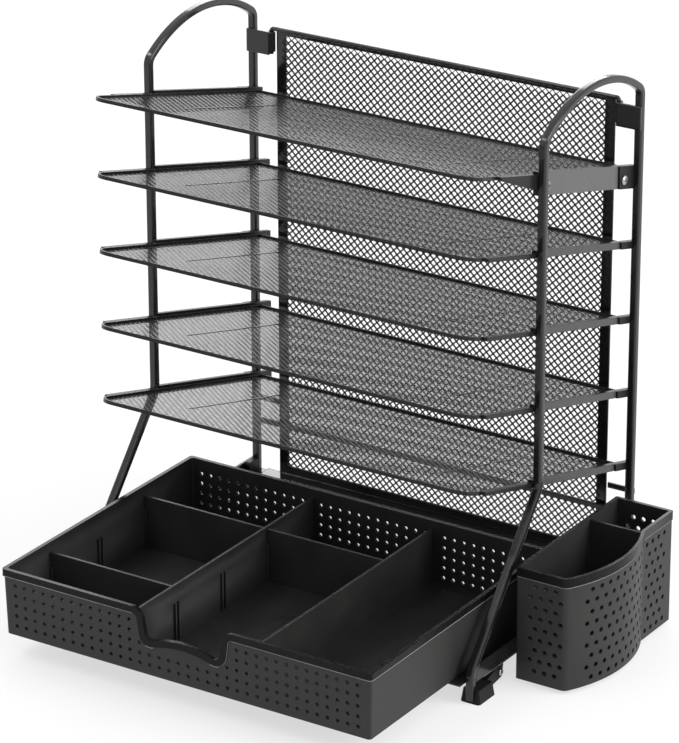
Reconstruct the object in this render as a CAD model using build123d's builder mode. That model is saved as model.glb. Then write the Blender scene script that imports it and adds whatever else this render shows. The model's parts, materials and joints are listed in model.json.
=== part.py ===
# Desk file organizer: five sloping mesh trays between two bent bar frames,
# with a sliding drawer below, a lift-off mesh back and a hanging pen holder.
from build123d import *
import os
from math import asin, cos, radians, sin, sqrt, tan

# Clearances
slide_gap = 0.3
pocket_gap = 0.1

# Side frames, each one bent bar
frame_width = 329.0
bar_width = 6.0
bar_depth = 5.2
bar_round = 0.9
upright_span = 132.0
leg_forward = 87.5
ankle_height = 23.0
knee_height = 128.0
shoulder_height = 377.0
leg_bend = 14.0
handle_angle = 34.0
handle_bend = 8.0

# Trays
tray_count = 5
tray_front = -82.4
tray_rear_gap = 1.0
tray_top = 378.4
tray_spacing = 56.5
tray_slope = 14.9
tray_corner = 15.0
rim_height = 2.6
rim_over_floor = 1.0
rim_wall = 1.6
rim_flange = 3.0
sheet = 0.8

# Mesh, drawn as a coarse diamond net
mesh_strand = 3.2
mesh_border = 4.0
tray_mesh_across = 8
tray_mesh_along = 5
panel_mesh_across = 7
panel_mesh_along = 8

# Tray rails along the side frames
rail_thickness = 3.5
rail_height = 5.2
rail_over_floor = 2.9
rail_tail = 8.7
rail_nose = 66.0
top_rail_height = 16.4
top_rail_nose = 50.0
top_nose_drop = 10.0
screw_head = 7.4
screw_head_height = 2.0
screw_crown = 1.0
screw_sides = 12
screw_shank = 3.4
screw_front_inset = 7.0
screw_rear_inset = 15.0
screw_drop = 6.9
spacer_thickness = 1.5
spacer_length = 21.0
end_cap_length = 16.0

# Drawer runners, feet and rear stretcher
runner_height = 12.0
runner_base = 15.1
runner_sheet = 1.5
runner_web = 2.0
lip_width = 12.5
runner_nose = 9.5
clip_length = 12.7
foot_width = 15.7
foot_height = 10.0
foot_floor = 2.4
foot_setback = 1.3
foot_length = 22.0
foot_round = 1.5
foot_taper_angle = 9.0
arm_thickness = 5.0
arm_length = 9.0
arm_root = 2.0
arm_lean = 15.0
arm_top_length = 9.0
foot_screw_head = 5.0
foot_screw_height = 1.6
foot_screw_shank = 2.6
boss = 4.0
boss_drop = 6.0
rear_foot_size = 13.0
stretcher_height = 58.9
stretcher_depth = 4.0
stretcher_sheet = 1.5

# Back panel with its hooks
panel_gap = 3.6
panel_top = 371.5
panel_sheet = 1.2
panel_border = 8.0
panel_top_border = 4.5
ledge_depth = 16.3
ledge_gap = 5.9
slot_spacing = 5.6
slot_length = 4.4
slot_width = 2.6
slot_inset = 3.6
wire = 3.2
wire_sides = 10
wire_sink = 0.2
wire_bend = 2.4
pin_inset = 13.5
pin_bottom = 352.0
sleeve_wall = 1.1
sleeve_bottom = 354.0
tab_sheet = 1.5
tab_bottom = 351.8
clip_height = 73.0
clip_depth = 4.0
clip_reach = 21.7

# Drawer
drawer_gap = 5.8
drawer_depth = 232.7
drawer_front = -200.8
drawer_height = 49.9
drawer_wall = 2.2
drawer_floor = 2.2
drawer_draft = 1.1
drawer_corner = 2.5
band_height = 5.0
band_step = 0.8
left_cell = 104.6
middle_cell = 99.0
inner_wall = 2.0
inner_wall_drop = 6.0
divider = 2.0
divider_rows = (-32.5, -90.0, -147.5)
divider_height = 40.4
rib = 1.5
rib_height = 30.4
notch_half = 30.0
notch_lean = 3.5
notch_low = 24.1
notch_arch = 5.8
notch_shoulder = 9.0
notch_corner = 4.0

# Pen holder
pen_gap = 6.2
pen_reach = 55.7
pen_front = -44.2
pen_length = 140.3
pen_step = 98.4
pen_bottom = 3.0
pen_height = 85.0
pen_wall = 2.0
pen_floor = 2.5
pen_band = 6.5
pen_band_step = 0.6
pen_bulge = 102.9
pen_bulge_at = 55.2
pen_corner = 6.0
pen_edge = 1.5
pen_divider = 1.8
pen_divider_drop = 1.5
hook_width = 12.0
hook_lip = 2.5
hook_top = 3.2
hook_drop = 7.5
hook_places = (31.0, 109.0)

# Places worked out from the sizes above
slope = radians(tray_slope)
bar_out = frame_width / 2
bar_in = bar_out - bar_width
bar_mid = bar_out - bar_width / 2
rear_front = upright_span - bar_depth / 2
rear_back = upright_span + bar_depth / 2
tray_half = bar_in - rail_thickness
tray_width = 2 * tray_half
tray_length = (rear_front - tray_rear_gap - tray_front) / cos(slope)
rim_bottom = rim_over_floor - rim_height
rail_bottom = rail_over_floor - rail_height
top_rail_bottom = rail_over_floor - top_rail_height
rail_rear = rear_back + rail_tail
runner_out = bar_out
runner_inner = bar_in - lip_width
runner_top = runner_base + runner_height
lip_top = runner_base + runner_sheet
drawer_bottom = lip_top + slide_gap
drawer_top = drawer_bottom + drawer_height
drawer_half = bar_in - drawer_gap
drawer_width = 2 * drawer_half
drawer_back = drawer_front + drawer_depth
panel_back = rear_back - slide_gap
panel_face = panel_back - panel_sheet
panel_bottom = lip_top + slide_gap
wire_y = panel_face - wire / 2 + wire_sink
pin_span = 2 * (bar_in - pin_inset)
panel_width = pin_span - 2 * panel_gap
ledge_width = 2 * (bar_in - ledge_gap)
slot_count = int((panel_width - 2 * panel_border) / slot_spacing)
sleeve_top = panel_top - wire_bend
foot_out = bar_mid + foot_width / 2
pen_inner = bar_out + pen_gap
pen_outer = pen_inner + pen_reach
pen_top = pen_bottom + pen_height
pen_rear = pen_front + pen_length

# The part's origin lies under the middle of the whole outline
mid_x = (foot_out - pen_outer) / 2
front_y = -(drawer_front + rail_rear) / 2


def side_plane(x):
    """Upright plane across the desk at x, drawn in depth and height."""
    return Plane(origin=(mid_x + x, front_y, 0), x_dir=(0, 1, 0), z_dir=(1, 0, 0))


def face_plane(y):
    """Upright plane facing the front at depth y, drawn in width and height."""
    return Plane(origin=(mid_x, front_y + y, 0), x_dir=(1, 0, 0), z_dir=(0, -1, 0))


def plan_plane(z):
    """Level plane at height z, drawn in width and depth."""
    return Plane(origin=(mid_x, front_y, z))


def tray_plane(level, height):
    """Sloping plane of one tray with its origin on the front edge."""
    up = (0, sin(slope), cos(slope))
    start = Vector(mid_x, front_y + tray_front, tray_top - level * tray_spacing)
    return Plane(origin=start + Vector(*up) * height, x_dir=(1, 0, 0), z_dir=up)


def tray_line(level, y, height):
    """Height above the desk of a line along one tray's slope."""
    return tray_top - level * tray_spacing - (y - tray_front) * tan(slope) + height / cos(slope)


def tray_outline(inset, mode=Mode.ADD):
    """Plan of a tray drawn in from its edge, rounded at the front."""
    with BuildSketch(mode=Mode.PRIVATE) as plan:
        with Locations((0, tray_length / 2)):
            Rectangle(tray_width - 2 * inset, tray_length - 2 * inset)
        fillet(plan.vertices().group_by(Axis.Y)[0], tray_corner - inset)
    add(plan.sketch, mode=mode)


def rail_end(level, length, low):
    """Side view of a block on the rear end of a rail, up to the rear upright."""
    near = rear_front - length
    with BuildSketch(mode=Mode.PRIVATE) as view:
        with BuildLine():
            Polyline(
                (near, tray_line(level, near, rail_over_floor)),
                (near, tray_line(level, near, low)),
                (rear_front, tray_line(level, rear_front, low)),
                (rear_front, tray_line(level, rear_front, rail_over_floor)),
                close=True,
            )
        make_face()
    add(view.sketch)


def diamonds(width, length, across, along):
    """Two staggered grids of diamond openings, centred where they are placed."""
    step_x = (width - 2 * mesh_border) / across
    step_y = (length - 2 * mesh_border) / along
    trim = mesh_strand / 2 * sqrt(step_x ** 2 + step_y ** 2)
    half_x = step_x / 2 - trim / step_y
    half_y = step_y / 2 - trim / step_x
    corners = [(half_x, 0), (0, half_y), (-half_x, 0), (0, -half_y)]
    with GridLocations(step_x, step_y, across, along):
        Polygon(*corners, mode=Mode.SUBTRACT)
    with GridLocations(step_x, step_y, across - 1, along - 1):
        Polygon(*corners, mode=Mode.SUBTRACT)


def pen_outline(inset):
    """Plan of the pen holder, with its bulged outer wall."""
    bulge = Vector(pen_outer - pen_bulge, pen_front + pen_bulge_at)
    rise = pen_front + pen_corner - bulge.Y
    turn_x = bulge.X + sqrt((pen_bulge - pen_corner) ** 2 - rise ** 2)
    tilt = asin(rise / (pen_bulge - pen_corner))
    tangent = bulge + Vector(cos(tilt), sin(tilt)) * pen_bulge
    half = (tilt - radians(90)) / 2
    turn = Vector(turn_x, pen_front + pen_corner) + Vector(cos(half), sin(half)) * pen_corner
    step_y = pen_front + pen_step
    step_x = bulge.X + sqrt(pen_bulge ** 2 - (step_y - bulge.Y) ** 2)
    with BuildSketch(mode=Mode.PRIVATE) as plan:
        with BuildLine():
            Polyline(
                (step_x, step_y),
                (step_x, pen_rear),
                (pen_inner, pen_rear),
                (pen_inner, pen_front),
                (turn_x, pen_front),
            )
            ThreePointArc((turn_x, pen_front), turn, tangent)
            ThreePointArc(tangent, (pen_outer, bulge.Y), (step_x, step_y))
        make_face()
        fillet(plan.vertices().group_by(Axis.Y)[-1], pen_edge)
        fillet(plan.vertices().group_by(Axis.Y)[0].sort_by(Axis.X)[0], pen_edge)
        if inset > 0:
            offset(amount=-inset, mode=Mode.REPLACE)
    add(plan.sketch)


def notch_outline(grow):
    """Finger notch of the drawer front: round shoulders and an arched floor."""
    low = drawer_top - notch_low
    wide = notch_half + notch_lean
    clear = wide + 2 * notch_shoulder
    over = drawer_top + notch_low
    with BuildSketch(mode=Mode.PRIVATE) as plan:
        with BuildLine():
            Polyline((-clear, over), (-clear, drawer_top), (-wide, drawer_top), (-notch_half, low))
            ThreePointArc((-notch_half, low), (0, low + notch_arch), (notch_half, low))
            Polyline((notch_half, low), (wide, drawer_top), (clear, drawer_top), (clear, over))
            Line((clear, over), (-clear, over))
        make_face()
        fillet(plan.vertices().group_by(Axis.Y)[1].sort_by(Axis.X)[1:3], notch_shoulder)
        fillet(plan.vertices().group_by(Axis.Y)[0], notch_corner)
        if grow > 0:
            offset(amount=grow, mode=Mode.REPLACE)
    add(plan.sketch)


os.makedirs("parts", exist_ok=True)
sides = (("left", -1), ("right", 1))

# Side frames: leg, upright, arched handle and rear upright in one bar
lean = radians(handle_angle)
handle_radius = (upright_span / 2 - handle_bend * (1 - sin(lean))) / sin(lean)
frames = {}
for name, way in sides:
    with BuildPart() as side_frame:
        with BuildLine(side_plane(way * bar_mid)) as bar_path:
            leg = FilletPolyline(
                (-leg_forward, foot_floor),
                (-leg_forward, ankle_height),
                (0, knee_height),
                (0, shoulder_height),
                radius=leg_bend,
            )
            rise = JernArc((0, shoulder_height), (0, 1), handle_bend, handle_angle - 90)
            arch = JernArc(rise @ 1, rise % 1, handle_radius, -2 * handle_angle)
            fall = JernArc(arch @ 1, arch % 1, handle_bend, handle_angle - 90)
            Line(fall @ 1, (upright_span, foot_floor))
        start = Plane(origin=bar_path.line @ 0, x_dir=(1, 0, 0), z_dir=bar_path.line % 0)
        with BuildSketch(start):
            bar = Rectangle(bar_width, bar_depth)
            chamfer(bar.vertices(), bar_round)
        sweep(path=bar_path.line)
    frames[name] = side_frame.part
    side_frame.part.label = f"side_frame_{name}"
    export_step(side_frame.part, f"parts/side_frame_{name}.step")

# Trays: pressed rims with an inward flange, and mesh floors lying on the flanges
for level in range(tray_count):
    with BuildPart() as tray_rim:
        with BuildSketch(tray_plane(level, rim_bottom)):
            tray_outline(0)
            tray_outline(rim_wall, mode=Mode.SUBTRACT)
        extrude(amount=rim_height)
        with BuildSketch(tray_plane(level, rim_bottom)):
            tray_outline(0)
            tray_outline(rim_wall + rim_flange, mode=Mode.SUBTRACT)
        extrude(amount=sheet)
    tray_rim.part.label = f"tray_rim_{level + 1}"
    export_step(tray_rim.part, f"parts/tray_rim_{level + 1}.step")

    with BuildPart() as tray_mesh:
        with BuildSketch(tray_plane(level, rim_bottom + sheet)):
            tray_outline(rim_wall + pocket_gap)
            with Locations((0, tray_length / 2)):
                diamonds(tray_width, tray_length, tray_mesh_across, tray_mesh_along)
        extrude(amount=sheet)
    tray_mesh.part.label = f"tray_mesh_{level + 1}"
    export_step(tray_mesh.part, f"parts/tray_mesh_{level + 1}.step")

# Tray rails: a wide screwed strip at the top, slim strips below it, all with a tapered nose
bar_front = -bar_depth / 2
screw_depths = (bar_depth / 2 + screw_front_inset, rear_front - screw_rear_inset)
screw_spots = [(y, tray_line(0, y, -screw_drop)) for y in screw_depths]
for name, way in sides:
    with BuildPart() as top_rail:
        with BuildSketch(side_plane(way * tray_half)):
            with BuildLine():
                Polyline(
                    (-top_rail_nose, tray_line(0, -top_rail_nose, rim_over_floor)),
                    (-top_rail_nose, tray_line(0, -top_rail_nose, rim_bottom)),
                    (bar_front, tray_line(0, bar_front, -top_nose_drop)),
                    (bar_front, tray_line(0, bar_front, top_rail_bottom)),
                    (rear_back, tray_line(0, rear_back, top_rail_bottom)),
                    (rear_back, tray_line(0, rear_back, rail_over_floor)),
                    (bar_front, tray_line(0, bar_front, rail_over_floor)),
                    (bar_front, tray_line(0, bar_front, rim_over_floor)),
                    close=True,
                )
            make_face()
            with Locations(*screw_spots):
                RegularPolygon(screw_shank / 2 + pocket_gap, screw_sides, mode=Mode.SUBTRACT)
        extrude(amount=way * rail_thickness)
    top_rail.part.label = f"tray_rail_{name}_1"
    export_step(top_rail.part, f"parts/tray_rail_{name}_1.step")

    for level in range(1, tray_count):
        with BuildPart() as slim_rail:
            with BuildSketch(side_plane(way * tray_half)):
                with BuildLine():
                    Polyline(
                        (-rail_nose, tray_line(level, -rail_nose, rim_over_floor)),
                        (-rail_nose, tray_line(level, -rail_nose, rim_bottom)),
                        (bar_front, tray_line(level, bar_front, rail_bottom)),
                        (rail_rear, tray_line(level, rail_rear, rail_bottom)),
                        (rail_rear, tray_line(level, rail_rear, rail_over_floor)),
                        (bar_front, tray_line(level, bar_front, rail_over_floor)),
                        (bar_front, tray_line(level, bar_front, rim_over_floor)),
                        close=True,
                    )
                make_face()
            extrude(amount=way * rail_thickness)
        slim_rail.part.label = f"tray_rail_{name}_{level + 1}"
        export_step(slim_rail.part, f"parts/tray_rail_{name}_{level + 1}.step")

# Black spacers and end caps on the rear ends of the rails, against the rear uprights
for name, way in sides:
    with BuildPart() as rail_spacer:
        with BuildSketch(side_plane(way * bar_in)):
            rail_end(0, spacer_length, top_rail_bottom)
            with Locations(screw_spots[1]):
                RegularPolygon(screw_shank / 2 + pocket_gap, screw_sides, mode=Mode.SUBTRACT)
        extrude(amount=way * spacer_thickness)
    rail_spacer.part.label = f"rail_spacer_{name}"
    export_step(rail_spacer.part, f"parts/rail_spacer_{name}.step")

    for level in range(1, tray_count):
        with BuildPart() as rail_end_cap:
            with BuildSketch(side_plane(way * bar_in)):
                rail_end(level, end_cap_length, rail_bottom)
            extrude(amount=way * spacer_thickness)
        rail_end_cap.part.label = f"rail_end_cap_{name}_{level + 1}"
        export_step(rail_end_cap.part, f"parts/rail_end_cap_{name}_{level + 1}.step")

# Screws through the top rails, four loose solids in one group
screw_seats = (bar_in, bar_in + spacer_thickness)
with BuildPart() as rail_screws:
    for name, way in sides:
        for spot, seat in zip(screw_spots, screw_seats):
            with BuildSketch(side_plane(way * seat)):
                with Locations(spot):
                    RegularPolygon(screw_head / 2, screw_sides)
            extrude(amount=way * screw_head_height)
            crown = rail_screws.faces(Select.LAST).filter_by(Axis.X).sort_by(Axis.X)[-1 if way > 0 else 0]
            chamfer(crown.edges(), screw_crown)
            with BuildSketch(side_plane(way * seat)):
                with Locations(spot):
                    RegularPolygon(screw_shank / 2, screw_sides)
            extrude(amount=-way * (seat - tray_half))
rail_screws.part.label = "rail_screws"
export_step(rail_screws.part, "parts/rail_screws.step")

# Drawer runners: an upright web outside and a level lip inside, cut round the frame bars
web_in = runner_out - runner_web
web_front = (runner_top - ankle_height) * leg_forward / (knee_height - ankle_height) - leg_forward
for name, way in sides:
    with BuildPart() as drawer_runner:
        with BuildSketch(side_plane(way * web_in)):
            with BuildLine():
                Polyline(
                    (-leg_forward, runner_base),
                    (web_front, runner_top),
                    (upright_span, runner_top),
                    (upright_span, runner_base),
                    close=True,
                )
            make_face()
        extrude(amount=way * runner_web)
        with BuildSketch(face_plane(-leg_forward)):
            with Locations((way * (bar_in + runner_out) / 2, runner_base + runner_sheet / 2)):
                Rectangle(runner_out - bar_in, runner_sheet)
        extrude(amount=-leg_forward - upright_span)
        with BuildSketch(face_plane(-leg_forward - runner_nose)):
            with Locations((way * (runner_inner + bar_in) / 2, runner_base + runner_sheet / 2)):
                Rectangle(bar_in - runner_inner, runner_sheet)
        extrude(amount=-leg_forward - runner_nose - rear_back)
        add(frames[name], mode=Mode.SUBTRACT)
    drawer_runner.part.label = f"drawer_runner_{name}"
    export_step(drawer_runner.part, f"parts/drawer_runner_{name}.step")

    # Block that closes the rear end of the runner
    with BuildPart() as runner_clip:
        with BuildSketch(face_plane(rear_front)):
            with Locations((way * (bar_in + web_in) / 2, (lip_top + runner_top) / 2)):
                Rectangle(web_in - bar_in, runner_top - lip_top)
        extrude(amount=clip_length)
        chamfer(runner_clip.edges().filter_by(Axis.X).group_by(Axis.Z)[-1], foot_round)
    runner_clip.part.label = f"runner_clip_{name}"
    export_step(runner_clip.part, f"parts/runner_clip_{name}.step")

# Flat bar between the rear uprights
with BuildPart() as rear_stretcher:
    with BuildSketch(face_plane(rear_front)):
        with Locations((0, stretcher_height)):
            Rectangle(2 * bar_in, stretcher_depth)
    extrude(amount=-stretcher_sheet)
rear_stretcher.part.label = "rear_stretcher"
export_step(rear_stretcher.part, "parts/rear_stretcher.step")

# Feet: the front ones carry an arm up to the runner, the rear ones are caps
foot_front = -leg_forward - bar_depth / 2 + foot_setback
foot_back = foot_front + foot_length
arm_low = foot_height - foot_floor
boss_spot = (foot_back + arm_lean, runner_base - boss_drop)
for name, way in sides:
    with BuildPart() as foot_front_part:
        with BuildSketch(plan_plane(0)):
            with Locations((way * bar_mid, foot_front + foot_length / 2)):
                pad = Rectangle(foot_width, foot_length)
            chamfer(pad.vertices(), foot_round)
        extrude(amount=foot_height, taper=foot_taper_angle)
        with BuildSketch(side_plane(way * bar_mid)):
            with BuildLine():
                Polyline(
                    (foot_back - arm_length, arm_low),
                    (foot_back - arm_root, foot_floor),
                    (boss_spot[0] + boss / 2, boss_spot[1] - boss),
                    (boss_spot[0] + boss, runner_base),
                    (boss_spot[0] + boss - arm_top_length, runner_base),
                    close=True,
                )
            make_face()
            with Locations(boss_spot):
                RegularPolygon(foot_screw_shank / 2 + pocket_gap, screw_sides, mode=Mode.SUBTRACT)
        extrude(amount=arm_thickness / 2, both=True)
        with BuildSketch(plan_plane(foot_floor)):
            with Locations((way * bar_mid, -leg_forward)):
                Rectangle(bar_width + 2 * pocket_gap, bar_depth + 2 * pocket_gap)
        extrude(amount=foot_height, mode=Mode.SUBTRACT)
    foot_front_part.part.label = f"foot_front_{name}"
    export_step(foot_front_part.part, f"parts/foot_front_{name}.step")

    with BuildPart() as foot_rear_part:
        with BuildSketch(plan_plane(0)):
            with Locations((way * bar_mid, upright_span)):
                cap = Rectangle(rear_foot_size, rear_foot_size)
            chamfer(cap.vertices(), foot_round)
        extrude(amount=foot_height, taper=foot_taper_angle)
        with BuildSketch(plan_plane(foot_floor)):
            with Locations((way * bar_mid, upright_span)):
                Rectangle(bar_width + 2 * pocket_gap, bar_depth + 2 * pocket_gap)
        extrude(amount=foot_height, mode=Mode.SUBTRACT)
    foot_rear_part.part.label = f"foot_rear_{name}"
    export_step(foot_rear_part.part, f"parts/foot_rear_{name}.step")

# Screws in the arms of the front feet, two loose solids in one group
with BuildPart() as foot_screws:
    for name, way in sides:
        with BuildSketch(side_plane(way * (bar_mid + arm_thickness / 2))):
            with Locations(boss_spot):
                RegularPolygon(foot_screw_head / 2, screw_sides)
        extrude(amount=way * foot_screw_height)
        with BuildSketch(side_plane(way * (bar_mid + arm_thickness / 2))):
            with Locations(boss_spot):
                RegularPolygon(foot_screw_shank / 2, screw_sides)
        extrude(amount=-way * arm_thickness)
foot_screws.part.label = "foot_screws"
export_step(foot_screws.part, "parts/foot_screws.step")

# Sockets and lower tabs for the back panel
bore = wire / 2 + slide_gap
for name, way in sides:
    with BuildPart() as panel_socket:
        with BuildSketch(face_plane(rear_front - tab_sheet)):
            with Locations((way * (pin_span / 2 + bar_out) / 2, (tab_bottom + sleeve_top) / 2)):
                Rectangle(bar_out - pin_span / 2, sleeve_top - tab_bottom)
        extrude(amount=-tab_sheet)
        with BuildSketch(plan_plane(sleeve_bottom)):
            with Locations((way * pin_span / 2, wire_y)):
                Circle(bore + sleeve_wall)
        extrude(amount=sleeve_top - sleeve_bottom)
        with BuildSketch(plan_plane(tab_bottom)):
            with Locations((way * pin_span / 2, wire_y)):
                Circle(bore)
        extrude(amount=panel_top - tab_bottom, mode=Mode.SUBTRACT)
    panel_socket.part.label = f"panel_socket_{name}"
    export_step(panel_socket.part, f"parts/panel_socket_{name}.step")

    with BuildPart() as panel_clip:
        with BuildSketch(face_plane(rear_back)):
            with Locations((way * (bar_out - bar_round - clip_reach / 2), clip_height + clip_depth / 2)):
                Rectangle(clip_reach, clip_depth)
        extrude(amount=-tab_sheet)
    panel_clip.part.label = f"panel_clip_{name}"
    export_step(panel_clip.part, f"parts/panel_clip_{name}.step")

# Back panel: flat border, slotted ledge at the foot and a wire with two pins at the top
window_low = panel_bottom + panel_border
window_high = panel_top - panel_top_border
with BuildPart() as back_panel_frame:
    with BuildSketch(face_plane(panel_face)):
        with Locations((0, (panel_bottom + panel_top) / 2)):
            Rectangle(panel_width, panel_top - panel_bottom)
        with Locations((0, (window_low + window_high) / 2)):
            Rectangle(panel_width - 2 * panel_border, window_high - window_low, mode=Mode.SUBTRACT)
    extrude(amount=-panel_sheet)
    with BuildSketch(plan_plane(panel_bottom)):
        with Locations((0, panel_back - ledge_depth / 2)):
            Rectangle(ledge_width, ledge_depth)
        with Locations((0, panel_back - ledge_depth + slot_inset)):
            with GridLocations(slot_spacing, slot_spacing, slot_count, 1):
                Rectangle(slot_length, slot_width, mode=Mode.SUBTRACT)
    extrude(amount=panel_sheet)
    with BuildLine(face_plane(wire_y)) as wire_path:
        FilletPolyline(
            (-pin_span / 2, pin_bottom),
            (-pin_span / 2, panel_top),
            (pin_span / 2, panel_top),
            (pin_span / 2, pin_bottom),
            radius=wire_bend,
        )
    with BuildSketch(Plane(origin=wire_path.line @ 0, z_dir=wire_path.line % 0)):
        RegularPolygon(wire / 2, wire_sides)
    sweep(path=wire_path.line)
back_panel_frame.part.label = "back_panel_frame"
export_step(back_panel_frame.part, "parts/back_panel_frame.step")

mesh_low = panel_bottom + panel_border / 2
mesh_high = panel_top - wire
mesh_width = panel_width - panel_border
with BuildPart() as back_panel_mesh:
    with BuildSketch(face_plane(panel_face - sheet)):
        with Locations((0, (mesh_low + mesh_high) / 2)):
            Rectangle(mesh_width, mesh_high - mesh_low)
            diamonds(mesh_width, mesh_high - mesh_low, panel_mesh_across, panel_mesh_along)
    extrude(amount=-sheet)
back_panel_mesh.part.label = "back_panel_mesh"
export_step(back_panel_mesh.part, "parts/back_panel_mesh.step")

# Drawer: tapered box with a rim band, two inner walls and guide ribs for the dividers
drawer_mid = drawer_front + drawer_depth / 2
floor_top = drawer_bottom + drawer_floor
inner_top = drawer_top - inner_wall_drop
foot_inset = band_step + drawer_draft
cavity_draft = drawer_draft / (drawer_height - drawer_floor)
left_face = -drawer_half + foot_inset + drawer_wall
inner_wall_left = left_face + left_cell + inner_wall / 2
inner_wall_right = inner_wall_left + middle_cell + inner_wall


def drawer_plan(inset):
    """Rounded plan of the drawer drawn in from its rim."""
    with Locations((0, drawer_mid)):
        RectangleRounded(drawer_width - 2 * inset, drawer_depth - 2 * inset, drawer_corner)


def wall_face(z):
    """Distance from the rim's outer face to the inside of a drawer wall at height z."""
    return band_step + drawer_wall + cavity_draft * (drawer_top - z)


with BuildPart() as drawer_tray:
    with BuildSketch(plan_plane(drawer_bottom)):
        drawer_plan(foot_inset)
    with BuildSketch(plan_plane(drawer_top)):
        drawer_plan(band_step)
    loft()
    with BuildSketch(plan_plane(drawer_top - band_height)):
        drawer_plan(0)
    extrude(amount=band_height)
    with BuildSketch(plan_plane(floor_top)):
        drawer_plan(wall_face(floor_top))
    with BuildSketch(plan_plane(drawer_top)):
        drawer_plan(wall_face(drawer_top))
    loft(mode=Mode.SUBTRACT)

    # Lengthwise inner walls, running into the sloping end walls
    low_end = wall_face(floor_top) - drawer_wall / 2
    high_end = wall_face(inner_top) - drawer_wall / 2
    for x in (inner_wall_left, inner_wall_right):
        with BuildSketch(side_plane(x)):
            with BuildLine():
                Polyline(
                    (drawer_front + low_end, floor_top - drawer_floor / 2),
                    (drawer_front + high_end, inner_top),
                    (drawer_back - high_end, inner_top),
                    (drawer_back - low_end, floor_top - drawer_floor / 2),
                    close=True,
                )
            make_face()
        extrude(amount=inner_wall / 2, both=True)

    # Rib pairs that hold the dividers
    side_rib = drawer_half - wall_face(floor_top) + drawer_wall / 2 - rib
    rib_ends = (-side_rib, inner_wall_left - rib, inner_wall_left + rib, inner_wall_right - rib)
    rib_step = (divider + rib) / 2 + slide_gap
    with BuildSketch(plan_plane(floor_top - drawer_floor / 2)):
        for x in rib_ends:
            for row in divider_rows:
                with Locations((x, row - rib_step), (x, row + rib_step)):
                    Rectangle(2 * rib, rib)
    extrude(amount=rib_height)

    # Finger notch in the front wall with its own raised edge
    with BuildSketch(face_plane(drawer_front)):
        notch_outline(band_height)
        with Locations((0, drawer_top)):
            Rectangle(drawer_width, drawer_height, align=(Align.CENTER, Align.MIN), mode=Mode.SUBTRACT)
    extrude(amount=-drawer_wall - band_step / 2)
    with BuildSketch(face_plane(drawer_front)):
        notch_outline(0)
    extrude(amount=-wall_face(drawer_bottom) - drawer_wall, mode=Mode.SUBTRACT)
drawer_tray.part.label = "drawer_tray"
export_step(drawer_tray.part, "parts/drawer_tray.step")

# Loose dividers standing on the drawer floor between the rib pairs
divider_top = floor_top + divider_height
left_low = -drawer_half + wall_face(floor_top) + slide_gap
left_high = -drawer_half + wall_face(divider_top) + slide_gap
left_end = inner_wall_left - inner_wall / 2 - slide_gap
middle_start = inner_wall_left + inner_wall / 2 + slide_gap
middle_end = inner_wall_right - inner_wall / 2 - slide_gap
divider_list = (
    ("left_back", divider_rows[0], left_low, left_high, left_end),
    ("left_front", divider_rows[2], left_low, left_high, left_end),
    ("middle", divider_rows[0], middle_start, middle_start, middle_end),
)
for name, row, low_start, high_start, end in divider_list:
    with BuildPart() as drawer_divider:
        with BuildSketch(face_plane(row)):
            with BuildLine():
                Polyline(
                    (low_start, floor_top),
                    (high_start, divider_top),
                    (end, divider_top),
                    (end, floor_top),
                    close=True,
                )
            make_face()
        extrude(amount=divider / 2, both=True)
    drawer_divider.part.label = f"drawer_divider_{name}"
    export_step(drawer_divider.part, f"parts/drawer_divider_{name}.step")

# Pen holder: bulged cup with a cross wall and two hooks over the right runner
cavity_inset = pen_band_step + pen_wall
with BuildPart() as pen_holder:
    with BuildSketch(plan_plane(pen_bottom)):
        pen_outline(pen_band_step)
    extrude(amount=pen_height)
    with BuildSketch(plan_plane(pen_top - pen_band)):
        pen_outline(0)
    extrude(amount=pen_band)
    with BuildSketch(plan_plane(pen_bottom + pen_floor)):
        pen_outline(cavity_inset)
        with Locations((pen_outer, pen_front + pen_step)):
            Rectangle(2 * (pen_outer - pen_inner), pen_divider, mode=Mode.SUBTRACT)
    extrude(amount=pen_height, mode=Mode.SUBTRACT)
    with BuildSketch(plan_plane(pen_top - pen_divider_drop)):
        pen_outline(cavity_inset)
    extrude(amount=pen_divider_drop, mode=Mode.SUBTRACT)

    lip_out = web_in - slide_gap
    leg_in = runner_out + slide_gap
    root = pen_inner + pen_band_step + pen_wall / 2
    for place in hook_places:
        with BuildSketch(face_plane(pen_front + place)):
            with BuildLine():
                Polyline(
                    (lip_out - hook_lip, runner_top - hook_drop),
                    (lip_out - hook_lip, runner_top + hook_top),
                    (root, runner_top + hook_top),
                    (root, runner_top - hook_drop),
                    (leg_in, runner_top - hook_drop),
                    (leg_in, runner_top),
                    (lip_out, runner_top),
                    (lip_out, runner_top - hook_drop),
                    close=True,
                )
            make_face()
        extrude(amount=hook_width / 2, both=True)
pen_holder.part.label = "pen_holder"
export_step(pen_holder.part, "parts/pen_holder.step")
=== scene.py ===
import json
import math

import bmesh
import bpy
from mathutils import Matrix, Vector


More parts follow.
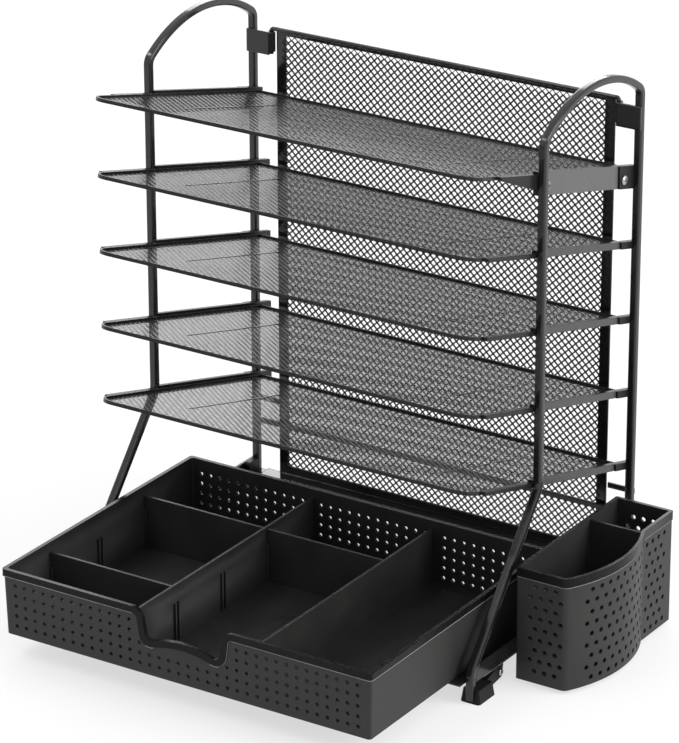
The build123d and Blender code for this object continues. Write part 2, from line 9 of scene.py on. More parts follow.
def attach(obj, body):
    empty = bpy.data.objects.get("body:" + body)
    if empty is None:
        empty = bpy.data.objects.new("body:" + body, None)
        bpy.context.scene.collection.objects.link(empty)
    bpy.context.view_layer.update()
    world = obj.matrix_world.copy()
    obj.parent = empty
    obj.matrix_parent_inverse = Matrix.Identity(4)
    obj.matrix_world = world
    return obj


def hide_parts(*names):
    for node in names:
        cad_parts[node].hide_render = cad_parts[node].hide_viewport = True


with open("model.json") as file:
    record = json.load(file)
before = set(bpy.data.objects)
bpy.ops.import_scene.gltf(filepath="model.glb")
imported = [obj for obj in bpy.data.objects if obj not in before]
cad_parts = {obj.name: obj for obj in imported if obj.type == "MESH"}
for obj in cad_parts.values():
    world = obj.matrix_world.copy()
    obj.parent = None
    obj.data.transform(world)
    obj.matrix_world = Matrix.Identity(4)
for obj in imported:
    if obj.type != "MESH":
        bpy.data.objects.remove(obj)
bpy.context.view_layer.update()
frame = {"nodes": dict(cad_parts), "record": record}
nodes = frame["nodes"]
scene = bpy.context.scene

# Sizes shared with the solids, in millimetres from the front uprights' middle
MID_X = -28.525
FRONT_Y = 28.75
SLOPE = math.radians(14.9)
TRAY_COUNT = 5
TRAY_FRONT, TRAY_BACK = -82.4, 128.4
TRAY_TOP = 378.4
TRAY_SPACING = 56.5
TRAY_WIDTH = 310.0
TRAY_LENGTH = (TRAY_BACK - TRAY_FRONT) / math.cos(SLOPE)
TRAY_CORNER = 15.0
RIM_WALL = 1.6
SHEET = 0.8
BAR_IN, BAR_MID = 158.5, 161.5
PANEL_HALF = 137.4
PANEL_LOW, PANEL_HIGH = 20.9, 368.3
PANEL_FACE = 133.1
DRAWER_HALF = 152.7
DRAWER_FRONT, DRAWER_BACK = -200.8, 31.9
DRAWER_TOP, DRAWER_BAND = 66.8, 5.0
DRAWER_WALLS = (-43, 58)
PEN_FRONT, PEN_REAR = -43.6, 95.5
PEN_TOP, PEN_BAND = 88.0, 6.5
PEN_SIDE = 216.3
BULGE_X, BULGE_Y, BULGE_R = 123.5, 11.0, 102.3
SCREW_SPOTS = ((9.6, 0.0), (114.4, 1.5))
SCREW_DROP = 6.9
FOOT_SCREW = (-51.8, 9.1)
FOOT_ARM_OUT = 2.5


def at(x, y, z):
    """A point given in the frame's own millimetres, as metres in the row frame."""
    return Vector(((x + MID_X) / 1000, (y + FRONT_Y) / 1000, z / 1000))


def own(point):
    """The same the other way: metres in the row frame to the frame's own millimetres."""
    return point.x * 1000 - MID_X, point.y * 1000 - FRONT_Y, point.z * 1000


def tray_line(level, y, height):
    """Height above the desk of a line along one tray's slope."""
    front = TRAY_TOP - level * TRAY_SPACING
    return front - (y - TRAY_FRONT) * math.tan(SLOPE) + height / math.cos(SLOPE)


# Materials, with lengths in metres

NOISE_SPAN = (0.3, 0.7)
MOTTLE_SCALE, MOTTLE_DETAIL = 38.0, 4.0
GRAIN_DETAIL, GRAIN_STRENGTH = 2.0, 0.6
EDGE_SAMPLES = 6


def new_material(name):
    mat = bpy.data.materials.new(name)
    mat.use_nodes = True
    return mat, mat.node_tree, mat.node_tree.nodes["Principled BSDF"]


def noise(tree, coords, scale, detail):
    node = tree.nodes.new("ShaderNodeTexNoise")
    node.inputs["Scale"].default_value = scale
    node.inputs["Detail"].default_value = detail
    tree.links.new(coords.outputs["Object"], node.inputs["Vector"])
    return node.outputs["Fac"]


def ramp(tree, source, low, high):
    """Runs from one colour to another over the middle values of a noise."""
    node = tree.nodes.new("ShaderNodeValToRGB")
    first, last = node.color_ramp.elements
    first.position, last.position = NOISE_SPAN
    first.color, last.color = (*low, 1), (*high, 1)
    tree.links.new(source, node.inputs["Fac"])
    return node.outputs["Color"]


def spread(tree, source, low, high, span=NOISE_SPAN):
    """Runs from one number to another while the source crosses a span."""
    node = tree.nodes.new("ShaderNodeMapRange")
    node.inputs["From Min"].default_value = span[0]
    node.inputs["From Max"].default_value = span[1]
    node.inputs["To Min"].default_value = low
    node.inputs["To Max"].default_value = high
    tree.links.new(source, node.inputs["Value"])
    return node.outputs["Result"]


def maths(tree, operation, first, second=None):
    """One sum on a socket, with a number or a second socket."""
    node = tree.nodes.new("ShaderNodeMath")
    node.operation = operation
    tree.links.new(first, node.inputs[0])
    if isinstance(second, float):
        node.inputs[1].default_value = second
    elif second is not None:
        tree.links.new(second, node.inputs[1])
    return node.outputs[0]


def surface(name, low, high, gloss, grain, depth, edge=0.0, metal=0.0, specular=0.5, painted_reflection=None):
    """A finish with mottled colour, uneven gloss, a fine grain and soft edges.

    The last argument is a function that says where a painted reflection lightens the colour, with
    the two colours of that reflection.
    """
    mat, tree, shader = new_material(name)
    coords = tree.nodes.new("ShaderNodeTexCoord")
    mottle = noise(tree, coords, MOTTLE_SCALE, MOTTLE_DETAIL)
    fine = noise(tree, coords, grain, GRAIN_DETAIL)
    colour = ramp(tree, mottle, low, high)
    if painted_reflection:
        where, reflection_low, reflection_high = painted_reflection
        reflection_colour = ramp(tree, mottle, reflection_low, reflection_high)
        blend = tree.nodes.new("ShaderNodeMixRGB")
        tree.links.new(where(tree, coords), blend.inputs["Fac"])
        tree.links.new(colour, blend.inputs["Color1"])
        tree.links.new(reflection_colour, blend.inputs["Color2"])
        colour = blend.outputs["Color"]
    tree.links.new(colour, shader.inputs["Base Color"])
    tree.links.new(spread(tree, mottle, *gloss), shader.inputs["Roughness"])
    bump = tree.nodes.new("ShaderNodeBump")
    bump.inputs["Strength"].default_value = GRAIN_STRENGTH
    bump.inputs["Distance"].default_value = depth
    tree.links.new(fine, bump.inputs["Height"])
    if edge:
        soft = tree.nodes.new("ShaderNodeBevel")
        soft.samples = EDGE_SAMPLES
        soft.inputs["Radius"].default_value = edge
        tree.links.new(soft.outputs["Normal"], bump.inputs["Normal"])
    tree.links.new(bump.outputs["Normal"], shader.inputs["Normal"])
    shader.inputs["Metallic"].default_value = metal
    shader.inputs["Specular IOR Level"].default_value = specular
    return mat


def grey(value):
    return value, value, value


# How far the painted reflection reaches inside the rails' outer faces and before the uprights'
# middle
REFLECTION_IN, REFLECTION_FRONT = 0.6, 2.0


def rail_reflection_mask(tree, coords):
    """One on the outer faces of the rails behind the front uprights, where a painted reflection
    lightens them, nothing elsewhere.
    """
    split = tree.nodes.new("ShaderNodeSeparateXYZ")
    tree.links.new(coords.outputs["Object"], split.inputs[0])
    off = maths(tree, "SUBTRACT", split.outputs["X"], MID_X / 1000)
    wide = maths(tree, "GREATER_THAN", maths(tree, "ABSOLUTE", off), (BAR_IN - REFLECTION_IN) / 1000)
    behind = maths(tree, "GREATER_THAN", split.outputs["Y"], (FRONT_Y - REFLECTION_FRONT) / 1000)
    return maths(tree, "MULTIPLY", wide, behind)


steel = surface("coated_steel", grey(0.009), grey(0.014), gloss=(0.09, 0.15),
                grain=900.0, depth=0.000005, edge=0.0018)
rim_steel = surface("rim_steel", grey(0.011), grey(0.017), gloss=(0.16, 0.24),
                    grain=900.0, depth=0.000008, edge=0.0008, specular=0.22)
# The rails' outer faces get a light grey painted reflection of the key light on the black steel
rail_steel = surface("rail_steel", grey(0.011), grey(0.017), gloss=(0.22, 0.32),
                     grain=900.0, depth=0.00001, edge=0.0004, specular=0.12,
                     painted_reflection=(rail_reflection_mask, grey(0.094), grey(0.100)))
# The slim rails' outer faces get a dimmer painted reflection
slim_rail_steel = surface("slim_rail_steel", grey(0.011), grey(0.017), gloss=(0.22, 0.32),
                          grain=900.0, depth=0.00001, edge=0.0008, specular=0.12,
                          painted_reflection=(rail_reflection_mask, grey(0.056), grey(0.062)))
mesh_steel = surface("mesh_steel", (0.006, 0.006, 0.007), (0.010, 0.010, 0.011),
                     gloss=(0.24, 0.34), grain=1100.0, depth=0.000003, specular=0.3)
plastic = surface("drawer_plastic", (0.020, 0.020, 0.0195), (0.026, 0.026, 0.025),
                  gloss=(0.42, 0.52), grain=1500.0, depth=0.00006, edge=0.0006, specular=0.3)
# The band plastic is really smoother and glossier; its darker colour is painted shade for how the
# glossy band looks darker than the walls
band_plastic_painted_shade = surface("band_plastic_painted_shade", grey(0.005), grey(0.008), gloss=(0.24, 0.32),
                       grain=1500.0, depth=0.00002, edge=0.0003, specular=0.12)
foot_plastic = surface("foot_plastic", grey(0.006), grey(0.010), gloss=(0.38, 0.5),
                       grain=1200.0, depth=0.00008, edge=0.0005, specular=0.15)
screw_steel = surface("screw_steel", (0.30, 0.30, 0.31), (0.42, 0.42, 0.43),
                      gloss=(0.14, 0.24), grain=1800.0, depth=0.00002, edge=0.0003, metal=1.0)
# A pale grey that paints the highlight along the lower edge of the bands
highlight_line_plastic = surface("highlight_line_plastic", grey(0.16), grey(0.22), gloss=(0.26, 0.36),
                        grain=1500.0, depth=0.00001, specular=0.6)
by_slot = {
    "coated_steel": steel,
    "rail_steel": rail_steel,
    "mesh_steel": mesh_steel,
    "drawer_plastic": plastic,
    "foot_plastic": foot_plastic,
    "screw_steel": screw_steel,
}
slot_of = {part["node"]: part["material_slot"] for part in frame["record"]["subparts"]}


def finish_of(name):
    """The rims, and the slim rails under the top tray with their dimmer painted reflection, differ
    from the rest of their slots.
    """
    if name.startswith("tray_rim"):
        return rim_steel
    if name.startswith("tray_rail") and not name.endswith("_1"):
        return slim_rail_steel
    return by_slot[slot_of[name]]


for name, obj in nodes.items():
    obj.data.materials.clear()
    obj.data.materials.append(finish_of(name))


def piece(name, mesh, body, slot, stands_for=()):
    """Links a new mesh as a piece of one body in one finish."""
    obj = bpy.data.objects.new(name, mesh)
    scene.collection.objects.link(obj)
    if not mesh.materials:
        mesh.materials.append(by_slot[slot])
    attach(obj, body)
    if stands_for:
        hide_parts(*stands_for)


def from_bmesh(name, bm):
    mesh = bpy.data.meshes.new(name)
    bm.to_mesh(mesh)
    bm.free()
    return mesh


def as_mesh(name, obj):
    """The finished mesh of an object with its modifiers or curve, which is then removed."""
    ready = obj.evaluated_get(bpy.context.evaluated_depsgraph_get())
    mesh = bpy.data.meshes.new_from_object(ready)
    mesh.name = name
    bpy.data.objects.remove(obj)
    mesh.materials.clear()
    return mesh


def smooth(mesh, sharp_angle):
    for face in mesh.polygons:
        face.use_smooth = True
    mesh.set_sharp_from_angle(angle=math.radians(sharp_angle))


# Expanded metal: diamonds tiled over an outline, each with a real opening

MESH_STEP = 5.7
TRAY_STRAND, TRAY_NET_THICK = 0.88, 0.3
PANEL_STRAND, PANEL_NET_THICK = 1.15, 0.5
NET_CLEAR = 0.15
DIAMOND = ((1, 0), (0, 1), (-1, 0), (0, -1))


def steps(span, step):
    """The whole steps that lie within a span."""
    return range(math.ceil(span[0] / step), math.floor(span[1] / step) + 1)


def net(name, inside, span_x, span_y, strand, thick, place):
    """A sheet of diamonds that lie within inside(x, y), in millimetres, set in space by place."""
    bm = bmesh.new()
    half = MESH_STEP / 2
    hole = half - strand / math.sqrt(2)
    shared = {}
    walls = {}

    def corner(key, x, y, z):
        if key not in shared:
            shared[key] = bm.verts.new(place(x, y, z))
        return shared[key]

    for i in steps(span_x, half):
        for j in steps(span_y, half):
            x, y = i * half, j * half
            if (i + j) % 2 or not all(inside(x + a * half, y + b * half) for a, b in DIAMOND):
                continue
            outer, inner = [], []
            for side, z in (("top", thick), ("low", 0.0)):
                outer.append([corner((i + a, j + b, side), x + a * half, y + b * half, z)
                              for a, b in DIAMOND])
                inner.append([bm.verts.new(place(x + a * hole, y + b * hole, z))
                              for a, b in DIAMOND])
            for k in range(4):
                n = (k + 1) % 4
                bm.faces.new((outer[0][k], outer[0][n], inner[0][n], inner[0][k]))
                bm.faces.new((outer[1][n], outer[1][k], inner[1][k], inner[1][n]))
                bm.faces.new((inner[0][k], inner[0][n], inner[1][n], inner[1][k]))
                wall = (outer[0][n], outer[0][k], outer[1][k], outer[1][n])
                walls.setdefault(frozenset(wall), []).append(wall)
    for uses in walls.values():
        if len(uses) == 1:
            bm.faces.new(uses[0])
    return from_bmesh(name, bm)


def in_tray(x, y):
    """Inside the rim of a tray, in its own plane, with round front corners."""
    edge = RIM_WALL + NET_CLEAR
    half = TRAY_WIDTH / 2 - edge
    if abs(x) > half or y < edge or y > TRAY_LENGTH - edge:
        return False
    r = TRAY_CORNER - edge
    dx, dy = abs(x) - (half - r), (edge + r) - y
    return dx <= 0 or dy <= 0 or math.hypot(dx, dy) <= r


def tray_place(level):
    """Puts a tray's own plan into space, with heights from the underside of its mesh."""
    up = Vector((0, math.sin(SLOPE), math.cos(SLOPE)))
    back = Vector((0, math.cos(SLOPE), -math.sin(SLOPE)))
    start = at(0, TRAY_FRONT, TRAY_TOP - level * TRAY_SPACING)

    def place(x, y, z):
        return start + Vector((x / 1000, 0, 0)) + back * (y / 1000) + up * ((z - SHEET) / 1000)

    return place


def in_panel(x, z):
    return abs(x) <= PANEL_HALF and PANEL_LOW <= z <= PANEL_HIGH


def panel_place(x, z, depth):
    return at(x, PANEL_FACE - depth, z)


across, along = (-TRAY_WIDTH / 2, TRAY_WIDTH / 2), (0, TRAY_LENGTH)
for level in range(TRAY_COUNT):
    name = f"tray_net_{level + 1}"
    mesh = net(name, in_tray, across, along, TRAY_STRAND, TRAY_NET_THICK, tray_place(level))
    piece(name, mesh, "organizer_frame", "mesh_steel", [f"tray_mesh_{level + 1}"])
across, upward = (-PANEL_HALF, PANEL_HALF), (PANEL_LOW, PANEL_HIGH)
mesh = net("panel_net", in_panel, across, upward, PANEL_STRAND, PANEL_NET_THICK, panel_place)
piece("panel_net", mesh, "back_panel", "mesh_steel", ["back_panel_mesh"])

# Pressed lines that stiffen the tray floors
LINE_AT, LINE_WIDTH, LINE_HEIGHT = 105.0, 1.6, 0.35
LINE_ENDS = (-37, 83)
LINE_SPAN = [(y - TRAY_FRONT) / math.cos(SLOPE) for y in LINE_ENDS]
LINE_PLAN = ((-1, 0), (1, 0), (1, 1), (-1, 1))
LINE_FACES = ((3, 2, 1, 0), (4, 5, 6, 7), (0, 1, 5, 4), (1, 2, 6, 5), (2, 3, 7, 6), (3, 0, 4, 7))
bm = bmesh.new()
for level in range(TRAY_COUNT):
    place = tray_place(level)
    for x in (-LINE_AT, LINE_AT):
        corners = []
        for z in (TRAY_NET_THICK, TRAY_NET_THICK + LINE_HEIGHT):
            for a, b in LINE_PLAN:
                corners.append(bm.verts.new(place(x + a * LINE_WIDTH / 2, LINE_SPAN[b], z)))
        for quad in LINE_FACES:
            bm.faces.new([corners[k] for k in quad])
mesh = from_bmesh("tray_pressed_lines", bm)
piece("tray_pressed_lines", mesh, "organizer_frame", "mesh_steel")


# Drawer and pen holder with perforated walls, and smooth bands darkened with painted shade, cut
# from the solids

HOLE_SIDES = 12
WELD = 1e-6
FLAT_ANGLE, SHELL_SHARP_ANGLE = 0.3, 25
FRONT_WAY, SIDE_WAY = Vector((0, 1, 0)), Vector((1, 0, 0))


def cutters(name, spots, radius, reach):
    """Short round bars along given directions, to cut holes with."""
    bm = bmesh.new()
    for centre, along in spots:
        turn = along.to_track_quat("Z", "Y").to_matrix().to_4x4()
        bmesh.ops.create_cone(bm, cap_ends=True, segments=HOLE_SIDES, radius1=radius / 1000,
                              radius2=radius / 1000, depth=reach / 1000,
                              matrix=Matrix.Translation(centre) @ turn)
    return from_bmesh(name, bm)


def cut_away(name, blank, tool):
    """One mesh with another cut out of it."""
    body = bpy.data.objects.new(name + "_blank", blank)
    cutter = bpy.data.objects.new(name + "_tool", tool)
    scene.collection.objects.link(body)
    scene.collection.objects.link(cutter)
    cut = body.modifiers.new("cut", "BOOLEAN")
    cut.operation = "DIFFERENCE"
    cut.solver = "EXACT"
    cut.object = cutter
    mesh = as_mesh(name, body)
    bpy.data.objects.remove(cutter)
    return mesh


def perforated(name, node, spots, radius, reach, is_band):
    """A copy of a solid's mesh with round holes, and the smoother band plastic, darkened with
    painted shade, where is_band says so.
    """
    bm = bmesh.new()
    bm.from_mesh(nodes[node].data)
    bmesh.ops.remove_doubles(bm, verts=bm.verts, dist=WELD)
    bmesh.ops.dissolve_limit(bm, angle_limit=math.radians(FLAT_ANGLE), verts=bm.verts,
                             edges=bm.edges)
    blank = from_bmesh(name + "_blank", bm)
    mesh = cut_away(name, blank, cutters(name + "_tool", spots, radius, reach))
    mesh.materials.append(plastic)
    mesh.materials.append(band_plastic_painted_shade)
    for face in mesh.polygons:
        face.material_index = 1 if is_band(own(face.center), face.normal) else 0
    smooth(mesh, SHELL_SHARP_ANGLE)
    return mesh


# Tolerances for telling the bands from the walls
BAND_DEPTH, BAND_SLACK, TOP_SLACK, LIP_SLACK = 1.2, 0.1, 0.2, 0.3
FACING_UP, FACING_ASIDE = 0.9, 0.5
NOTCH_HALF, NOTCH_LOW, NOTCH_DEPTH = 60, 40, 5
HOLE_ROOM = 1.8
LEDGE_DEPTH = 2


def near_drawer_outside(x, y, depth):
    """Within a depth of the drawer's outer faces."""
    return abs(x) > DRAWER_HALF - depth or y < DRAWER_FRONT + depth or y > DRAWER_BACK - depth


def drawer_band(spot, normal):
    """On the band round the drawer, its top edge, or the lip along the finger notch."""
    x, y, z = spot
    on_band = z > DRAWER_TOP - DRAWER_BAND - BAND_SLACK and near_drawer_outside(x, y, BAND_DEPTH)
    on_top = z > DRAWER_TOP - TOP_SLACK and normal.z > FACING_UP
    on_lip = y < DRAWER_FRONT + LIP_SLACK
    in_hole = any(math.hypot(x - hole_x, z - hole_z) < HOLE_ROOM for hole_x, hole_z in front_holes)
    by_notch = y < DRAWER_FRONT + NOTCH_DEPTH and abs(x) < NOTCH_HALF and z > NOTCH_LOW
    edge_on = by_notch and abs(normal.y) < FACING_ASIDE and not in_hole
    return on_band or on_top or on_lip or edge_on


def pen_band(spot, normal):
    return spot[2] > PEN_TOP - PEN_BAND - BAND_SLACK


def drawer_outside(spot):
    x, y, z = spot
    return z < DRAWER_TOP - LEDGE_DEPTH and near_drawer_outside(x, y, LEDGE_DEPTH)


def pen_outside(spot):
    return spot[2] < PEN_TOP - LEDGE_DEPTH


def highlight_line(name, mesh, outside, radius, drop):
    """A fine rounded edge along the line where a wall meets its band, in a pale colour that paints
    in its highlight.
    """
    bm = bmesh.new()
    bm.from_mesh(mesh)
    links = {}
    for edge in bm.edges:
        kinds = {face.material_index for face in edge.link_faces}
        if len(kinds) == 2 and all(outside(own(v.co)) for v in edge.verts):
            a, b = edge.verts
            links.setdefault(a, []).append(b)
            links.setdefault(b, []).append(a)
    curve = bpy.data.curves.new(name, "CURVE")
    curve.dimensions = "3D"
    curve.bevel_depth = radius / 1000
    curve.bevel_resolution = 1
    curve.use_fill_caps = True
    while links:
        start = min(links, key=lambda v: (len(links[v]), v.index))
        chain = [start]
        while links.get(chain[-1]):
            here = chain[-1]
            there = links[here].pop()
            links[there].remove(here)
            chain.append(there)
        links = {v: ends for v, ends in links.items() if ends}
        closed = chain[0] is chain[-1]
        points = chain[:-1] if closed else chain
        line = curve.splines.new("POLY")
        line.points.add(len(points) - 1)
        for point, vert in zip(line.points, points):
            point.co = (vert.co.x, vert.co.y, vert.co.z - drop / 1000, 1)
        line.use_cyclic_u = closed
    bm.free()
    obj = bpy.data.objects.new(name, curve)
    scene.collection.objects.link(obj)
    made = as_mesh(name, obj)
    made.materials.append(highlight_line_plastic)
    return made


# Rows of holes in the drawer's front and back, clear of the notch and the inner walls
# NOTCH_CLEAR pairs a height with the half width that rows below it keep free
DRAWER_ROWS, DRAWER_COLUMNS = 5, 36
DRAWER_LOWEST, DRAWER_RISE, DRAWER_STEP = 24.6, 7.75, 8.08
DRAWER_HOLE_R, DRAWER_HOLE_REACH, DRAWER_HOLE_IN = 1.5, 12.0, 3
WALL_CLEAR = 3.4
NOTCH_CLEAR = ((36, 0), (44, 34), (DRAWER_TOP, 42))
spots = []
front_holes = []
for row in range(DRAWER_ROWS):
    z = DRAWER_LOWEST + row * DRAWER_RISE
    clear = next(half for height, half in NOTCH_CLEAR if z < height)
    for k in range(-DRAWER_COLUMNS // 2, DRAWER_COLUMNS // 2):
        x = (k + 0.5) * DRAWER_STEP
        if abs(x) > clear:
            front_holes.append((x, z))
            spots.append((at(x, DRAWER_FRONT + DRAWER_HOLE_IN, z), FRONT_WAY))
        if min(abs(x - wall) for wall in DRAWER_WALLS) > WALL_CLEAR:
            spots.append((at(x, DRAWER_BACK - DRAWER_HOLE_IN, z), FRONT_WAY))
mesh = perforated("drawer_shell", "drawer_tray", spots, DRAWER_HOLE_R, DRAWER_HOLE_REACH,
                  drawer_band)
piece("drawer_shell", mesh, "drawer", "drawer_plastic", ["drawer_tray"])
# A thin rounded edge under the drawer's band, pale as a painted highlight
mesh = highlight_line("drawer_highlight_line", mesh, drawer_outside, radius=0.3, drop=0.15)
piece("drawer_highlight_line", mesh, "drawer", "drawer_plastic")

# Staggered holes in the pen holder: front and rear walls, the bulge, and the side behind it
# Each STARTS value gives the number of holes and the first place, for even and odd rows
PEN_ROWS = 9
PEN_HOLE_R, PEN_HOLE_REACH, PEN_HOLE_IN = 1.85, 8.0, 1
END_LOWEST, END_RISE, END_STEP = 12.2, 8.0, 8.0
END_STARTS = ((3, 186.0), (4, 182.0))
SIDE_LOWEST, SIDE_RISE, SIDE_STEP = 8.6, 8.35, 8.35
SIDE_STARTS = ((4, 59.1), (3, 63.2))
BULGE_STEP = 8.65
BULGE_STARTS = ((9, -35.2), (10, -39.6))
spots = []
for row in range(PEN_ROWS):
    z = END_LOWEST + row * END_RISE
    count, first = END_STARTS[row % 2]
    for k in range(count):
        for y in (PEN_FRONT + PEN_HOLE_IN, PEN_REAR - PEN_HOLE_IN):
            spots.append((at(first + k * END_STEP, y, z), FRONT_WAY))
    z = SIDE_LOWEST + row * SIDE_RISE
    count, first = BULGE_STARTS[row % 2]
    for k in range(count):
        turn = (first + k * BULGE_STEP) / BULGE_R
        out = Vector((math.cos(turn), math.sin(turn), 0))
        spots.append((at(BULGE_X, BULGE_Y, z) + out * (BULGE_R - PEN_HOLE_IN) / 1000, out))
    count, first = SIDE_STARTS[row % 2]
    for k in range(count):
        spots.append((at(PEN_SIDE - PEN_HOLE_IN, first + k * SIDE_STEP, z), SIDE_WAY))
mesh = perforated("pen_shell", "pen_holder", spots, PEN_HOLE_R, PEN_HOLE_REACH, pen_band)
piece("pen_shell", mesh, "pen_cup", "drawer_plastic", ["pen_holder"])
# A thin rounded edge under the pen holder's band, pale as a painted highlight
mesh = highlight_line("pen_highlight_line", mesh, pen_outside, radius=0.4, drop=0.45)
piece("pen_highlight_line", mesh, "pen_cup", "drawer_plastic")


# Screws with domed heads and crossed recesses

HEAD_SIDES, HEAD_SHARP_ANGLE = 28, 40
DOME_STEPS, DOME_TURN = 5, 15
# Shares of a head's height, and of its recess's reach for the arm's half width
DOME_START, RECESS_FLOOR, RECESS_TOP = 0.35, 0.45, 1.5
RECESS_ARM = 0.25
QUARTER_TURNS = ((1, 0), (0, 1), (-1, 0), (0, -1))


def screw_heads(name, seats, radius, height, shank, depth, recess):
    """Domed heads on shanks, each with a crossed recess, from (seat, outward) pairs."""
    bm = bmesh.new()
    tool = bmesh.new()
    profile = [(shank, -depth), (shank, 0.0), (radius, 0.0), (radius, DOME_START * height)]
    for k in range(1, DOME_STEPS + 1):
        turn = math.radians(DOME_TURN * k)
        rise = DOME_START + (1 - DOME_START) * math.sin(turn)
        profile.append((radius * math.cos(turn), height * rise))
    arm = recess * RECESS_ARM
    quarter = ((recess, -arm), (recess, arm), (arm, arm))
    plan = [(x * c - y * s, x * s + y * c) for c, s in QUARTER_TURNS for x, y in quarter]
    for seat, outward in seats:
        turn = Matrix.Translation(seat) @ outward.to_track_quat("Z", "Y").to_matrix().to_4x4()
        rings = []
        for r, h in profile:
            ring = []
            for k in range(HEAD_SIDES):
                a = 2 * math.pi * k / HEAD_SIDES
                spot = Vector((r * math.cos(a), r * math.sin(a), h)) / 1000
                ring.append(bm.verts.new(turn @ spot))
            rings.append(ring)
        for low, high in zip(rings, rings[1:]):
            for k in range(HEAD_SIDES):
                n = (k + 1) % HEAD_SIDES
                bm.faces.new((low[k], low[n], high[n], high[k]))
        bm.faces.new(list(reversed(rings[0])))
        bm.faces.new(rings[-1])
        low, high = ([tool.verts.new(turn @ (Vector((x, y, h)) / 1000)) for x, y in plan]
                     for h in (height * RECESS_FLOOR, height * RECESS_TOP))
        tool.faces.new(list(reversed(low)))
        tool.faces.new(high)
        for k in range(len(plan)):
            n = (k + 1) % len(plan)
            tool.faces.new((low[k], low[n], high[n], high[k]))
    mesh = cut_away(name, from_bmesh(name + "_blank", bm), from_bmesh(name + "_tool", tool))
    smooth(mesh, HEAD_SHARP_ANGLE)
    return mesh


seats = []
for way in (-1, 1):
    for y, stand in SCREW_SPOTS:
        spot = at(way * (BAR_IN + stand), y, tray_line(0, y, -SCREW_DROP))
        seats.append((spot, Vector((way, 0, 0))))
mesh = screw_heads("rail_screw_heads", seats, radius=3.6, height=2.0, shank=1.6, depth=3.4,
                   recess=1.9)
piece("rail_screw_heads", mesh, "organizer_frame", "screw_steel", ["rail_screws"])
seats = []
for way in (-1, 1):
    seats.append((at(way * (BAR_MID + FOOT_ARM_OUT), *FOOT_SCREW), Vector((way, 0, 0))))
mesh = screw_heads("foot_screw_heads", seats, radius=2.5, height=1.6, shank=1.2, depth=4.9,
                   recess=1.3)
piece("foot_screw_heads", mesh, "organizer_frame", "screw_steel", ["foot_screws"])

# Camera fitted to the photograph
PHOTO_WIDTH, FOCAL_PIXELS = 679, 4234.558
SENSOR = 36.0
CAMERA_SPOT = (1493.203, -2315.49, 1326.762)
TILT, TURN, ROLL = 0.3946695, 0.5732015, 0.0016893
cam_data = bpy.data.cameras.new("camera")
camera = bpy.data.objects.new("camera", cam_data)
scene.collection.objects.link(camera)
cam_data.sensor_fit = "HORIZONTAL"
cam_data.sensor_width = SENSOR
cam_data.lens = FOCAL_PIXELS / PHOTO_WIDTH * SENSOR
cam_data.clip_start = 0.1
cam_data.clip_end = 60.0
ahead = Vector((-math.sin(TURN) * math.cos(TILT), math.cos(TURN) * math.cos(TILT),
                -math.sin(TILT)))
right = Vector((math.cos(TURN), math.sin(TURN), 0))
down = ahead.cross(right)
right_rolled = right * math.cos(ROLL) + down * math.sin(ROLL)
down_rolled = down * math.cos(ROLL) - right * math.sin(ROLL)
axes = Matrix((right_rolled, -down_rolled, -ahead)).transposed()
camera.matrix_world = Matrix.Translation(at(*CAMERA_SPOT)) @ axes.to_4x4()
scene.camera = camera

# Pale floor, white surroundings that light the object less from in front, and soft lamps

FLOOR_REACH, FLOOR_WHITE_SHARE = 12.0, 0.65
LIGHT_SIDE = (0.35, 0.75, 0.65)
LIGHT_SPAN, LIGHT_LOW, LIGHT_HIGH = (-0.5, 0.4), 0.18, 1.0


def background_rays(tree):
    """One for rays from the camera, a reflection or glass, nothing for other light."""
    path = tree.nodes.new("ShaderNodeLightPath")
    seen = maths(tree, "MAXIMUM", path.outputs["Is Camera Ray"], path.outputs["Is Glossy Ray"])
    return maths(tree, "MAXIMUM", seen, path.outputs["Is Transmission Ray"])


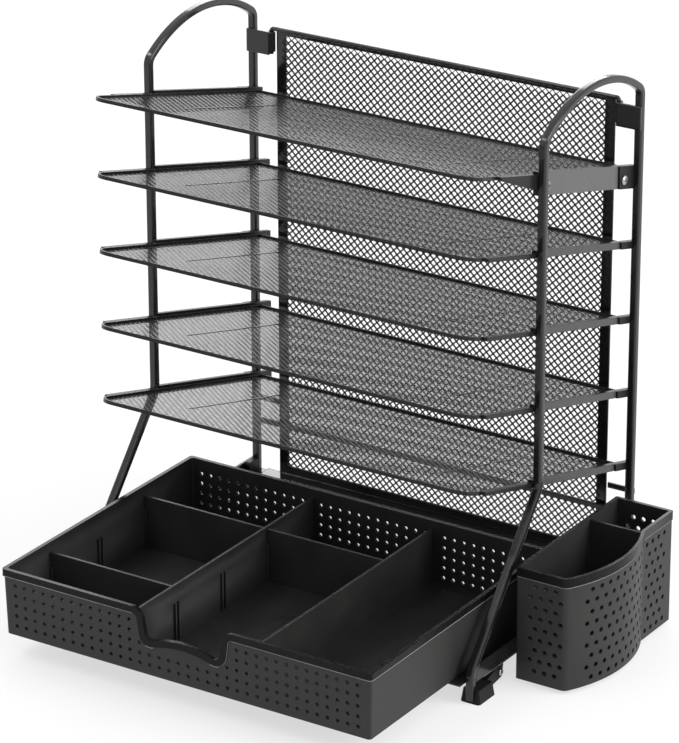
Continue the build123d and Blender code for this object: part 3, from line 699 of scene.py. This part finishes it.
bm = bmesh.new()
bmesh.ops.create_grid(bm, x_segments=2, y_segments=2, size=FLOOR_REACH)
floor = bpy.data.objects.new("floor", from_bmesh("floor", bm))
scene.collection.objects.link(floor)
floor_mat, tree, shader = new_material("floor_paper")
shader.inputs["Base Color"].default_value = (*grey(0.92), 1)
shader.inputs["Roughness"].default_value = 0.8
shader.inputs["Specular IOR Level"].default_value = 0.2
white = tree.nodes.new("ShaderNodeEmission")
white.inputs["Strength"].default_value = 1.0
blend = tree.nodes.new("ShaderNodeMixShader")
share = maths(tree, "MULTIPLY", background_rays(tree), FLOOR_WHITE_SHARE)
tree.links.new(share, blend.inputs["Fac"])
tree.links.new(shader.outputs["BSDF"], blend.inputs[1])
tree.links.new(white.outputs["Emission"], blend.inputs[2])
tree.links.new(blend.outputs["Shader"], tree.nodes["Material Output"].inputs["Surface"])
floor.data.materials.append(floor_mat)

world = bpy.data.worlds.new("studio")
scene.world = world
world.use_nodes = True
tree = world.node_tree
backdrop = tree.nodes["Background"]
coords = tree.nodes.new("ShaderNodeTexCoord")
toward = tree.nodes.new("ShaderNodeVectorMath")
toward.operation = "DOT_PRODUCT"
toward.inputs[1].default_value = LIGHT_SIDE
tree.links.new(coords.outputs["Generated"], toward.inputs[0])
light = spread(tree, toward.outputs["Value"], LIGHT_LOW, LIGHT_HIGH, LIGHT_SPAN)
strength = maths(tree, "MAXIMUM", light, background_rays(tree))
tree.links.new(strength, backdrop.inputs["Strength"])
backdrop.inputs["Color"].default_value = (1, 1, 1, 1)


def lamp(name, where, aim, size, power, length=0.0):
    """A round lamp, or a strip if it has a length, turned towards a point."""
    data = bpy.data.lights.new(name, "AREA")
    data.shape = "RECTANGLE" if length else "DISK"
    data.size = size
    if length:
        data.size_y = length
    data.energy = power
    obj = bpy.data.objects.new(name, data)
    scene.collection.objects.link(obj)
    obj.location = where
    upright = "X" if length else "Y"
    facing = (Vector(aim) - Vector(where)).to_track_quat("-Z", upright)
    obj.rotation_euler = facing.to_euler()


lamp("key_right", where=(2.4, 0.6, 1.3), aim=(0, 0, 0.2), size=1.6, power=50)
lamp("back_left", where=(-1.5, 2.4, 1.25), aim=(0, 0, 0.1), size=1.6, power=24)
lamp("strip_above", where=(-0.85, -0.45, 1.5), aim=(0, 0, 0.35), size=0.15, power=8, length=2.0)

scene.view_settings.view_transform = "Standard"
